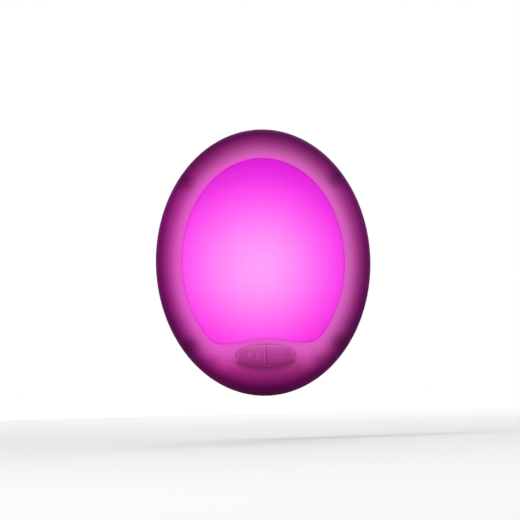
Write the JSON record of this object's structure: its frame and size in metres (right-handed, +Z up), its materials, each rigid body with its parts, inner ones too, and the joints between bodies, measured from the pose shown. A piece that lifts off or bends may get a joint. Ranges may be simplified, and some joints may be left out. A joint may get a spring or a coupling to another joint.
{
  "type": "night light",
  "caption": "Oval plug-in wall night light: glowing opal window in a rounded translucent rim, two push buttons below, flat plug blades behind.",
  "frame": {"origin": "on the wall face of the plug pad, midway between the two blades", "axes": "+X to the right as seen from the room, +Y into the wall, +Z up; the window and the buttons face -Y"},
  "size_m": [0.105, 0.0557, 0.1304],
  "materials": {
    "frosted_shell": "frosted translucent white plastic, lit magenta from inside",
    "opal_window": "opal diffuser, lit magenta from inside",
    "rear_shell": "fine matt moulded plastic",
    "button_plastic": "frosted translucent white plastic, lit magenta from inside",
    "white_reflector": "matt",
    "white_board": "white solder mask",
    "led_package": "white package, clear lens",
    "green_board": "green solder mask",
    "switch_black": "matt",
    "plunger_grey": "matt",
    "film_red": "dipped, glossy",
    "capacitor_sleeve": "shrunk sleeve",
    "chip_black": "moulded epoxy",
    "resistor_body": "lacquered",
    "ferrite": "sleeved ferrite drum",
    "plug_brass": "nickel-plated brass",
    "retainer_plastic": "matt",
    "wire_black": "soft insulation",
    "wire_white": "soft insulation",
    "wire_red": "soft insulation",
    "wire_grey": "soft insulation",
    "zinc_screw": "zinc plated"
  },
  "bodies": {
    "root": {"front_bezel": "frosted_shell", "diffuser_window": "opal_window", "rear_cover": "rear_shell", "reflector_tray": "white_reflector", "led_board": "white_board", "rgb_leds": "led_package", "switch_board": "green_board", "play_pause_switch": "switch_black", "power_switch": "switch_black", "main_board": "green_board", "film_capacitor": "film_red", "bulk_capacitor": "capacitor_sleeve", "bridge_rectifier": "chip_black", "fuse_resistor": "resistor_body", "inductor": "ferrite", "controller_chip": "chip_black", "left_blade": "plug_brass", "right_blade": "plug_brass", "blade_retainer": "retainer_plastic", "left_mains_wire": "wire_black", "right_mains_wire": "wire_white", "led_wires": "wire_red", "switch_wires": "wire_grey", "case_screws": "zinc_screw", "main_board_screws": "zinc_screw", "switch_board_screws": "zinc_screw", "retainer_screws": "zinc_screw"},
    "play_pause_cap": {"play_pause_button": "button_plastic"},
    "power_cap": {"power_button": "button_plastic"},
    "play_pause_switch_plunger": {"play_pause_plunger": "plunger_grey"},
    "power_switch_plunger": {"power_plunger": "plunger_grey"}
  },
  "joints": [
    {"name": "play_pause_press", "type": "slide", "parent": "root", "child": "play_pause_cap", "axis": [0, 1, 0], "range_m": [0, 0.0005], "stiffness_N_per_m": 1500, "springref_m": -0.0004},
    {"name": "power_press", "type": "slide", "parent": "root", "child": "power_cap", "axis": [0, 1, 0], "range_m": [0, 0.0005], "stiffness_N_per_m": 1500, "springref_m": -0.0004},
    {"name": "play_pause_plunger_travel", "type": "slide", "parent": "root", "child": "play_pause_switch_plunger", "axis": [0, 1, 0], "range_m": [0, 0.0005]},
    {"name": "power_plunger_travel", "type": "slide", "parent": "root", "child": "power_switch_plunger", "axis": [0, 1, 0], "range_m": [0, 0.0005]}
  ],
  "couplings": [
    {"joint": "play_pause_plunger_travel", "follows": "play_pause_press", "ratio": 1},
    {"joint": "power_plunger_travel", "follows": "power_press", "ratio": 1}
  ]
}
